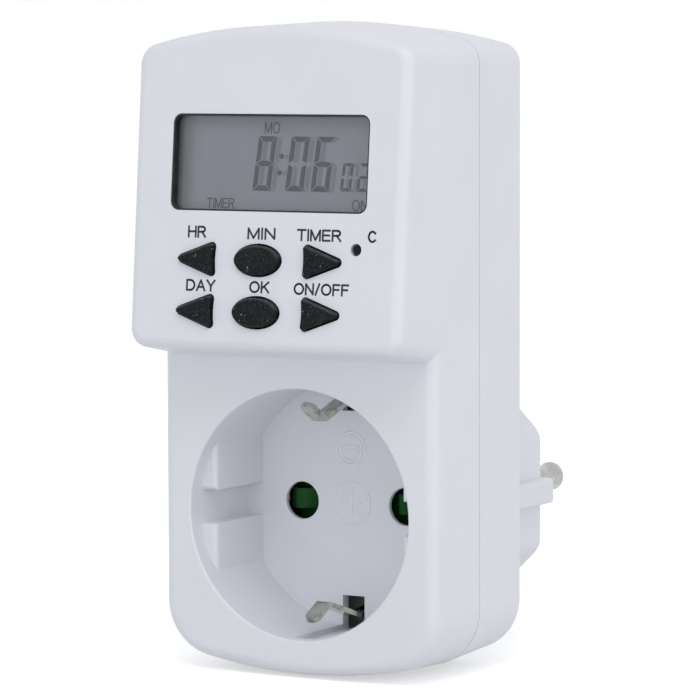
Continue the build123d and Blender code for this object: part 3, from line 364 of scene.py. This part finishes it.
# Nickel plate on the brass pins: neutral grey and softly bright, with small faint stains.
nickel_plate = drawn_metal(
    "brass_nickel_plated_drawn", ("#B1B2AE", "#C0C0BE"), "#95948F",
    stain_share=0.5, stain_mm=0.7, roughness=(0.20, 0.32),
)

# Nickel plate on the springy earth strips: faintly yellow and shinier, with larger, darker stains.
strip_plate = drawn_metal(
    "spring_steel_nickel_plated", ("#C3C2B6", "#E0DFD4"), "#75756B",
    stain_share=0.6, stain_mm=1.5, roughness=(0.09, 0.20),
)

# Zinc plate on steel screws, springs and small cans: bluish grey, finely crystalline.
zinc_plate = finish(
    "steel_zinc_plated", ("#A9ADB2", "#BCC0C4"),
    cloud_mm=1.5, grain_mm=0.08, grain_depth_mm=0.002, roughness=(0.28, 0.42), fixed={"Metallic": 1.0},
)

# Bare brass of the springy contacts: yellow, lightly tarnished.
bare_brass = finish(
    "brass_bare_rolled", ("#B08D4A", "#C7A560"),
    cloud_mm=3.0, grain_mm=0.10, grain_depth_mm=0.002, roughness=(0.24, 0.38), fixed={"Metallic": 1.0},
)


def woven_laminate(name, shades):
    """Circuit board under solder resist, with the weave of its glass cloth."""
    material, tree, place = new_material(name)
    weave = add(tree, "TexWave", {
        "Vector": place, "Scale": per_metre(3.0), "Distortion": 0.6, "Detail": 1.0,
    }, wave_type="BANDS", bands_direction="DIAGONAL")
    colour = add(tree, "Mix", {
        "Factor": weave.outputs["Fac"],
        FIRST_COLOUR: linear(shades[0]), SECOND_COLOUR: linear(shades[1]),
    }, data_type="RGBA")
    relief = add(tree, "Bump", {"Height": weave.outputs["Fac"], "Distance": 0.01 * MM, "Strength": 1.0})
    shader = add(tree, "BsdfPrincipled", {
        "Base Color": colour.outputs[MIXED_COLOUR],
        "Roughness": patches(tree, place, size_mm=0.8, detail=2.0, low=0.28, high=0.42),
        "Normal": relief.outputs["Normal"],
        "IOR": 1.55,
    })
    add(tree, "OutputMaterial", {"Surface": shader.outputs["BSDF"]})
    return material


# Glass-fibre laminate under green solder resist: deep green and glossy. Real cloth is finer than this
# weave, which is drawn coarser so that it shows.
board_laminate = woven_laminate("laminate_green_solder_resist", ("#15502A", "#1D6234"))

# Bodies of the electrical components, each with its usual resin, sleeve or lacquer.
black_epoxy = finish(
    "epoxy_black_moulded", ("#17181A", "#1F2022"),
    cloud_mm=1.5, grain_mm=0.10, grain_depth_mm=0.004, roughness=(0.44, 0.58), fixed={"IOR": 1.55},
)
relay_case = finish(
    "polyester_blue_moulded", ("#1E4B86", "#255592"),
    cloud_mm=5.0, grain_mm=0.12, grain_depth_mm=0.003, roughness=(0.28, 0.40), fixed={"IOR": 1.57},
)
capacitor_case = finish(
    "polyester_yellow_moulded", ("#C79A24", "#D2A62F"),
    cloud_mm=5.0, grain_mm=0.12, grain_depth_mm=0.003, roughness=(0.28, 0.40), fixed={"IOR": 1.57},
)
can_sleeve = finish(
    "pvc_dark_shrink_sleeve", ("#1B2230", "#222A39"),
    cloud_mm=4.0, grain_mm=0.20, grain_depth_mm=0.006, roughness=(0.22, 0.36), fixed={"IOR": 1.54},
)
disc_lacquer = finish(
    "epoxy_blue_dipped", ("#1F4F8A", "#2A5C97"),
    cloud_mm=1.2, grain_mm=0.25, grain_depth_mm=0.02, roughness=(0.26, 0.42), fixed={"IOR": 1.55},
)
resistor_lacquer = finish(
    "lacquer_beige_dipped", ("#B79C77", "#C6AD88"),
    cloud_mm=0.8, grain_mm=0.20, grain_depth_mm=0.01, roughness=(0.35, 0.50), fixed={"IOR": 1.5},
)

# PVC insulation of the wires and of the ribbon between the boards: smooth, with a soft gloss.
brown_pvc = finish(
    "pvc_brown_extruded", ("#5A3620", "#653F27"),
    cloud_mm=2.0, grain_mm=0.15, grain_depth_mm=0.003, roughness=(0.32, 0.44), fixed={"IOR": 1.54},
)
blue_pvc = finish(
    "pvc_blue_extruded", ("#2A5DA0", "#3468AB"),
    cloud_mm=2.0, grain_mm=0.15, grain_depth_mm=0.003, roughness=(0.32, 0.44), fixed={"IOR": 1.54},
)
ribbon_pvc = finish(
    "pvc_grey_ribbon_extruded", ("#8C8E91", "#989A9D"),
    cloud_mm=1.3, grain_mm=0.15, grain_depth_mm=0.003, roughness=(0.36, 0.50), fixed={"IOR": 1.54},
)

wears = {
    housing_abs: ["front_housing", "rear_housing"],
    key_rubber: [
        "hour_key", "minute_key", "time_key", "day_key", "ok_key", "switch_key", "reset_key",
    ],
    window_acrylic: ["display_window"],
    polariser: ["lcd_glass"],
    frame_abs: ["lcd_holder"],
    mat_rubber: ["keypad_mat", "zebra_strips"],
    shutter_nylon: ["safety_shutter"],
    carrier_nylon: ["contact_carrier"],
    nickel_plate: ["live_pin", "neutral_pin"],
    strip_plate: ["earth_strip_top", "earth_strip_bottom", "earth_link"],
    zinc_plate: [
        "housing_screws", "board_screws", "power_board_screws", "carrier_screws", "clock_crystal",
        "backup_cell", "thermal_fuse", "shutter_spring",
    ],
    bare_brass: ["live_contact", "neutral_contact"],
    board_laminate: ["control_board", "power_board"],
    black_epoxy: ["controller_chip", "rectifier_diodes"],
    relay_case: ["relay"],
    capacitor_case: ["dropper_capacitor"],
    can_sleeve: ["filter_capacitors"],
    disc_lacquer: ["varistor"],
    resistor_lacquer: ["power_resistors"],
    brown_pvc: ["live_wire", "relay_wire"],
    blue_pvc: ["neutral_wire"],
    ribbon_pvc: ["board_ribbon"],
}
for material, names in wears.items():
    for name in names:
        slots = nodes[name].material_slots
        if len(slots) == 0:
            nodes[name].data.materials.append(material)
        for slot in slots:
            slot.material = material

# ---------------------------------------------------------------- pieces


def show(name, mesh, material):
    """Puts a mesh in the scene as a piece that rides on the casing."""
    piece = bpy.data.objects.new(name, mesh)
    bpy.context.scene.collection.objects.link(piece)
    mesh.materials.clear()
    mesh.materials.append(material)
    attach(piece, "casing")
    return piece


def thin_faces(name, outlines, place, thickness_mm):
    """A mesh of thin flat shapes, each given by its outline; place turns (x, up, out) into a point."""
    shape = bmesh.new()
    for outline in outlines:
        low = [shape.verts.new(place(x, up, 0.0)) for x, up in outline]
        high = [shape.verts.new(place(x, up, thickness_mm)) for x, up in outline]
        shape.faces.new(high)
        shape.faces.new(list(reversed(low)))
        for i in range(len(outline)):
            j = (i + 1) % len(outline)
            shape.faces.new((low[i], low[j], high[j], high[i]))
    bmesh.ops.recalc_face_normals(shape, faces=shape.faces)
    mesh = bpy.data.meshes.new(name)
    shape.to_mesh(mesh)
    shape.free()
    return mesh


def tube_mesh(name, lines, radius_mm, resolution, capped=False):
    """A smooth mesh of round tubes along lines, each given by its points in metres and whether it closes."""
    curve = bpy.data.curves.new(name, "CURVE")
    curve.dimensions = "3D"
    curve.bevel_depth = radius_mm * MM
    curve.bevel_resolution = resolution
    curve.use_fill_caps = capped
    for points, closed in lines:
        line = curve.splines.new("POLY")
        line.points.add(len(points) - 1)
        for made, point in zip(line.points, points):
            made.co = (*point, 1.0)
        line.use_cyclic_u = closed
    holder = bpy.data.objects.new(name + "_line", curve)
    bpy.context.scene.collection.objects.link(holder)
    bpy.context.view_layer.update()
    mesh = bpy.data.meshes.new_from_object(holder.evaluated_get(bpy.context.evaluated_depsgraph_get()))
    bpy.data.objects.remove(holder)
    mesh.name = name
    for face in mesh.polygons:
        face.use_smooth = True
    return mesh


def round_dot(x, up, radius, sides=20):
    """Outline of a round dot."""
    turns = [2 * pi * i / sides for i in range(sides)]
    return [(x + radius * cos(turn), up + radius * sin(turn)) for turn in turns]


# ---------------------------------------------------------------- pen lettering

# Letters as pen strokes in a box one unit high: its width, then points, or arcs as (x, y, radius across,
# radius up, first and last angle).
GLYPHS = {
    "A": (0.72, [[(0.0, 0.0), (0.36, 1.0), (0.72, 0.0)], [(0.13, 0.33), (0.59, 0.33)]]),
    "C": (0.74, [[(0.38, 0.5, 0.38, 0.5, 42, 318)]]),
    "D": (0.70, [[(0.30, 1.0), (0.0, 1.0), (0.0, 0.0), (0.30, 0.0)], [(0.30, 0.5, 0.40, 0.5, 90, -90)]]),
    "E": (0.58, [[(0.58, 1.0), (0.0, 1.0), (0.0, 0.0), (0.58, 0.0)], [(0.0, 0.52), (0.53, 0.52)]]),
    "F": (0.55, [[(0.55, 1.0), (0.0, 1.0), (0.0, 0.0)], [(0.0, 0.52), (0.47, 0.52)]]),
    "H": (0.66, [[(0.0, 0.0), (0.0, 1.0)], [(0.66, 0.0), (0.66, 1.0)], [(0.0, 0.52), (0.66, 0.52)]]),
    "I": (0.0, [[(0.0, 0.0), (0.0, 1.0)]]),
    "K": (0.62, [[(0.0, 0.0), (0.0, 1.0)], [(0.60, 1.0), (0.0, 0.36)], [(0.22, 0.6), (0.62, 0.0)]]),
    "M": (0.76, [[(0.0, 0.0), (0.0, 1.0), (0.38, 0.04), (0.76, 1.0), (0.76, 0.0)]]),
    "N": (0.66, [[(0.0, 0.0), (0.0, 1.0), (0.66, 0.0), (0.66, 1.0)]]),
    "O": (0.80, [[(0.40, 0.5, 0.40, 0.5, 0, 360)]]),
    "R": (0.66, [
        [(0.0, 0.0), (0.0, 1.0), (0.38, 1.0)], [(0.38, 0.75, 0.25, 0.25, 90, -90)],
        [(0.38, 0.5), (0.0, 0.5)], [(0.36, 0.5), (0.66, 0.0)],
    ]),
    "T": (0.64, [[(0.0, 1.0), (0.64, 1.0)], [(0.32, 1.0), (0.32, 0.0)]]),
    "Y": (0.68, [[(0.0, 1.0), (0.34, 0.45), (0.68, 1.0)], [(0.34, 0.45), (0.34, 0.0)]]),
    "/": (0.32, [[(0.0, -0.02), (0.32, 1.02)]]),
}
LETTER_GAP = 0.24
ARC_STEPS = 24
JOINT_SIDES = 10
LETTER_THICKNESS = 0.008


def glyph_points(stroke):
    """The points of one stroke, with its arcs divided."""
    points = []
    for part in stroke:
        if len(part) == 2:
            points.append(part)
        else:
            x, y, wide, tall, first, last = part
            angles = [radians(first + (last - first) * i / ARC_STEPS) for i in range(ARC_STEPS + 1)]
            points += [(x + wide * cos(angle), y + tall * sin(angle)) for angle in angles]
    return points


def pen_stroke(points, width):
    """Outlines of one pen stroke: a bar along each leg, a dot at each joint, and square ends."""
    path = [Vector(p) for p in points]
    path[0] += (path[0] - path[1]).normalized() * width / 2
    path[-1] += (path[-1] - path[-2]).normalized() * width / 2
    for a, b in zip(path, path[1:]):
        along = (b - a).normalized() * width / 2
        side = Vector((-along.y, along.x))
        yield [tuple(a - side), tuple(b - side), tuple(b + side), tuple(a + side)]
    for x, y in points[1:-1]:
        yield round_dot(x, y, width / 2, JOINT_SIDES)


def lettering(name, words, left, right, low, high, place, material, pen_width):
    """Words drawn with a pen so that they fill a box: left and right, low and high."""
    total = sum(GLYPHS[letter][0] for letter in words) + LETTER_GAP * (len(words) - 1)
    across = (right - left - pen_width) / total
    upwards = high - low - pen_width
    outlines, start = [], 0.0
    for letter in words:
        advance, strokes = GLYPHS[letter]
        for stroke in strokes:
            outlines += pen_stroke([
                (left + pen_width / 2 + (start + x) * across, low + pen_width / 2 + y * upwards)
                for x, y in glyph_points(stroke)
            ], pen_width)
        start += advance + LETTER_GAP
    return show(name, thin_faces(name, outlines, place, LETTER_THICKNESS), material)


# ---------------------------------------------------------------- spring of the shutter

COIL_TURNS = 5
COIL_WIRE_RADIUS = 0.2
STEPS_PER_TURN = 24


def coil_spring(name, node, turns, wire_radius):
    """Round wire coil along X in a node's place, which it takes while the node is hidden."""
    low, high = (Vector(corner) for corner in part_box(node))
    centre = (low + high) / 2
    radius = (high.z - low.z) / 2 - wire_radius * MM
    first, last = low.x + wire_radius * MM, high.x - wire_radius * MM
    steps = STEPS_PER_TURN * turns
    points = []
    for i in range(steps + 1):
        share, angle = i / steps, 2 * pi * turns * i / steps
        points.append((
            first + (last - first) * share, centre.y + radius * cos(angle), centre.z + radius * sin(angle),
        ))
    mesh = tube_mesh(name, [(points, False)], wire_radius, resolution=3, capped=True)
    spring = show(name, mesh, zinc_plate)
    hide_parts(node)
    tuple(low)
    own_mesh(spring)


coil_spring(
    "shutter_coil", "shutter_spring", COIL_TURNS, COIL_WIRE_RADIUS
)

# ---------------------------------------------------------------- printed legends

INK_LIFT = 0.015
LEGEND_PEN = 0.32


def printed(x, up, out):
    """A point just over the panel's face."""
    return on_panel(x, up, INK_LIFT + out)


# Piece, words, left and right, low and high.
legends = (
    ("hour_legend", "HR", -13.75, -10.45, 43.35, 45.2),
    ("minute_legend", "MIN", -3.0, 2.0, 43.3, 45.15),
    ("time_legend", "TIMER", 5.8, 13.6, 43.25, 45.1),
    ("reset_legend", "C", 18.2, 19.75, 43.25, 45.1),
    ("day_legend", "DAY", -13.7, -8.4, 35.15, 37.0),
    ("ok_legend", "OK", -2.3, 1.3, 35.15, 37.0),
    ("switch_legend", "ON/OFF", 5.6, 15.3, 35.1, 36.95),
)
for name, words, left, right, low, high in legends:
    lettering(name, words, left, right, row(low), row(high), printed, legend_ink, LEGEND_PEN)

# ---------------------------------------------------------------- the display's reading

# The bars of a figure that are switched on: a to f clockwise from the top, and g across the middle.
DIGIT_SEGMENTS = {"0": "abcdef", "2": "abged", "6": "afgedc", "8": "abcdefg"}
SLANT = 0.105
BIG = {"low": row(50.75), "width": 3.35, "height": 8.5, "thick": 0.96, "gap": 0.14}
SMALL = {"low": row(50.9), "width": 2.0, "height": 4.4, "thick": 0.60, "gap": 0.12}
READING_SHIFT = -0.98
COLON_RADIUS = 0.42
SHADOW_ACROSS, SHADOW_DOWN = 0.95, 0.08
FIGURE_LIFT = 0.03
SHADOW_LIFT = 0.012
FIGURE_THICKNESS = 0.01
WORD_PEN = 0.20


def drawn_in(outline, gap):
    """A convex outline with each side moved inwards."""
    corners = [Vector(p) for p in outline]
    lines = []
    for i, a in enumerate(corners):
        b = corners[(i + 1) % len(corners)]
        along = (b - a).normalized()
        inward = Vector((-along.y, along.x))
        lines.append((a + inward * gap, along))
    made = []
    for i, (b, along_b) in enumerate(lines):
        a, along_a = lines[i - 1]
        cross = along_a.x * along_b.y - along_a.y * along_b.x
        t = ((b.x - a.x) * along_b.y - (b.y - a.y) * along_b.x) / cross
        made.append(tuple(a + along_a * t))
    return made


def digit_segments(figure, left, low, width, height, thick, gap):
    """Outlines of one slanted seven-segment figure with mitred ends."""
    w, h, t, m = width, height, thick, height / 2
    shapes = {
        "a": ((0, h), (t, h - t), (w - t, h - t), (w, h)),
        "b": ((w, h), (w - t, h - t), (w - t, m + t / 2), (w, m)),
        "c": ((w, m), (w - t, m - t / 2), (w - t, t), (w, 0)),
        "d": ((w, 0), (w - t, t), (t, t), (0, 0)),
        "e": ((0, 0), (t, t), (t, m - t / 2), (0, m)),
        "f": ((0, m), (t, m + t / 2), (t, h - t), (0, h)),
        "g": ((0, m), (t, m - t / 2), (w - t, m - t / 2), (w, m), (w - t, m + t / 2), (t, m + t / 2)),
    }
    for key in DIGIT_SEGMENTS[figure]:
        outline = drawn_in(shapes[key], gap / 2)
        yield [(left + x + SLANT * y, low + y) for x, y in outline]


def on_glass(x, up, out):
    """A point just over the face of the liquid crystal glass."""
    return on_panel(x, up, FIGURE_LIFT + out - GLASS_DEPTH)


def under_figures(x, up, out):
    """A point between the figures and the glass, for their shadow."""
    return on_panel(x, up, SHADOW_LIFT + out - GLASS_DEPTH)


lit = []
for figure, left in (("8", -2.6), ("0", 3.25), ("6", 7.75)):
    lit += digit_segments(figure, left + READING_SHIFT, **BIG)
for figure, left in (("0", 12.95), ("2", 15.8)):
    lit += digit_segments(figure, left + READING_SHIFT, **SMALL)
for x, z in ((2.55, 56.1), (2.25, 53.6)):
    lit.append(round_dot(x + READING_SHIFT, row(z), COLON_RADIUS))
figures_mesh = thin_faces("display_figures", lit, on_glass, FIGURE_THICKNESS)
show("display_figures", figures_mesh, crystal_dark)

shadow = [[(x + SHADOW_ACROSS, up - SHADOW_DOWN) for x, up in outline] for outline in lit]
shadow_mesh = thin_faces("display_shadow", shadow, under_figures, FIGURE_THICKNESS)
show("display_shadow", shadow_mesh, crystal_shadow)

# Piece, words, left and right before the reading's shift, low and high.
readings = (
    ("day_word", "MO", -0.7, 2.05, 59.55, 61.35),
    ("mode_word", "TIMER", -10.6, -5.6, 48.0, 49.6),
    ("state_word", "ON", 15.2, 18.0, 48.0, 49.7),
)
for name, words, left, right, low, high in readings:
    lettering(
        name, words, left + READING_SHIFT, right + READING_SHIFT, row(low), row(high), on_glass,
        crystal_dark, WORD_PEN,
    )

# ---------------------------------------------------------------- raised marks on the floor of the well

BEAD_RADIUS = 0.19


def bead(name, centre, lines):
    """Raised round beads on the well's floor, along lines about a centre that close or stay open."""
    placed = [
        ([((centre[0] + x) * MM, WELL_FLOOR_Y * MM, (centre[1] + z) * MM) for x, z in points], closed)
        for points, closed in lines
    ]
    # The beads wear the polished ABS, whose paler colour is a painted highlight.
    show(name, tube_mesh(name, placed, BEAD_RADIUS, resolution=2), polished_highlit_abs)


bead("round_mark_with_cross", (-0.35, 0.0), [
    (round_dot(0.0, 0.0, 3.35, sides=48), True),
    ([(-1.8, 0.0), (1.8, 0.0)], False),
    ([(0.0, -1.9), (0.0, 1.9)], False),
])
bead("round_mark_with_bars", (-0.4, 8.8), [
    (round_dot(0.0, 0.0, 2.6, sides=48), True),
    (round_dot(0.0, 0.0, 2.0, sides=40), True),
    ([(-1.45, 0.35), (1.45, 0.35)], False),
    ([(-1.45, -0.35), (1.45, -0.35)], False),
])

# ---------------------------------------------------------------- stage, in metres

FLOOR_GAP = 0.0002
PAPER_HALF_WIDTH = 4.0
PAPER_FRONT = -4.0
BEND_START = 1.2
BEND_RADIUS = 0.6
PAPER_TOP = 3.0


def glowing_paper(name, shades, glow_strength):
    """Matt paper with faint fibres, which glows for the rays that see the background white."""
    material, tree, place = new_material(name)
    fibre = add(tree, "TexNoise", {"Vector": place, "Scale": per_metre(1.5), "Detail": 3.0})
    colour = add(tree, "Mix", {
        "Factor": fibre.outputs["Fac"],
        FIRST_COLOUR: linear(shades[0]), SECOND_COLOUR: linear(shades[1]),
    }, data_type="RGBA")
    matt = add(tree, "BsdfDiffuse", {"Color": colour.outputs[MIXED_COLOUR], "Roughness": 0.6})
    glow = add(tree, "Emission", {"Color": linear("#FFFFFF"), "Strength": glow_strength})
    both = add(tree, "AddShader", {0: matt.outputs["BSDF"], 1: glow.outputs["Emission"]})
    mix = add(tree, "MixShader", {
        "Fac": sees_white(tree), 1: matt.outputs["BSDF"], 2: both.outputs["Shader"],
    })
    add(tree, "OutputMaterial", {"Surface": mix.outputs["Shader"]})
    return material


def paper_sweep(name, material, floor_z):
    """Floor of paper that curves up behind the object."""
    profile = [(PAPER_FRONT, 0.0), (BEND_START, 0.0)]
    for angle in range(10, 91, 10):
        turn = radians(angle)
        profile.append((BEND_START + BEND_RADIUS * sin(turn), BEND_RADIUS - BEND_RADIUS * cos(turn)))
    profile.append((BEND_START + BEND_RADIUS, PAPER_TOP))
    sweep = bmesh.new()
    strips = [
        [sweep.verts.new((x, y, floor_z + z)) for x in (-PAPER_HALF_WIDTH, PAPER_HALF_WIDTH)]
        for y, z in profile
    ]
    for near, far in zip(strips, strips[1:]):
        sweep.faces.new((near[0], near[1], far[1], far[0]))
    mesh = bpy.data.meshes.new(name)
    sweep.to_mesh(mesh)
    sweep.free()
    for face in mesh.polygons:
        face.use_smooth = True
    mesh.materials.append(material)
    backdrop = bpy.data.objects.new(name, mesh)
    bpy.context.scene.collection.objects.link(backdrop)
    return backdrop


# Paper sweep: looks white to the camera, in reflections and through clear parts, and keeps the shadow.
paper = glowing_paper("paper_sweep_white", ("#EDEDEE", "#F1F1F2"), glow_strength=0.45)
backdrop = paper_sweep("paper_sweep", paper, cad_box[0][2] - FLOOR_GAP)


def even_sky(name, strength):
    """Even light from all round, seen as white by the camera, in reflections and through clear parts."""
    world = bpy.data.worlds.new(name)
    bpy.context.scene.world = world
    world.use_nodes = True
    tree = world.node_tree
    tree.nodes.clear()
    soft = add(tree, "Background", {"Color": linear("#F7F8FA"), "Strength": strength})
    white = add(tree, "Background", {"Color": linear("#FFFFFF"), "Strength": 1.0})
    mix = add(tree, "MixShader", {
        "Fac": sees_white(tree), 1: soft.outputs["Background"], 2: white.outputs["Background"],
    })
    add(tree, "OutputWorld", {"Surface": mix.outputs["Shader"]})


even_sky("studio", 0.66)


def softbox(name, place, target, width, height, power):
    """A rectangular lamp that faces a point."""
    lamp = bpy.data.lights.new(name, "AREA")
    lamp.shape = "RECTANGLE"
    lamp.size = width
    lamp.size_y = height
    lamp.energy = power
    holder = bpy.data.objects.new(name, lamp)
    holder.location = place
    holder.rotation_euler = (Vector(target) - Vector(place)).to_track_quat("-Z", "Y").to_euler()
    bpy.context.scene.collection.objects.link(holder)


middle = (0.0, -0.04, 0.025)
softbox("front_softbox", (0.25, -1.3, 0.05), middle, width=0.9, height=0.6, power=1.95)
softbox("right_softbox", (1.35, -0.35, 0.3), middle, width=0.9, height=0.9, power=3.15)
softbox("top_softbox", (0.45, -0.8, 1.1), middle, width=0.8, height=0.6, power=3.2)

# ---------------------------------------------------------------- camera

# The camera looks at a point in the plane of the lower block's front, from this far away in metres.
TARGET = Vector((9.209, FRONT_Y, 26.424)) * MM
DISTANCE = 0.6
AZIMUTH = radians(30.049)
ELEVATION = radians(4.518)
ROLL = radians(-0.1635)

away = Vector((sin(AZIMUTH) * cos(ELEVATION), -cos(AZIMUTH) * cos(ELEVATION), sin(ELEVATION)))
camera = bpy.data.cameras.new("camera")
camera.sensor_width = 36.0
camera.lens = 201.87
camera.clip_start = 0.05
camera.clip_end = 20.0
holder = bpy.data.objects.new("camera", camera)
aim = (-away).to_track_quat("-Z", "Y").to_matrix().to_4x4()
holder.matrix_world = Matrix.Translation(TARGET + away * DISTANCE) @ aim @ Matrix.Rotation(ROLL, 4, "Z")
bpy.context.scene.collection.objects.link(holder)
bpy.context.scene.camera = holder
bpy.context.scene.view_settings.view_transform = "Standard"
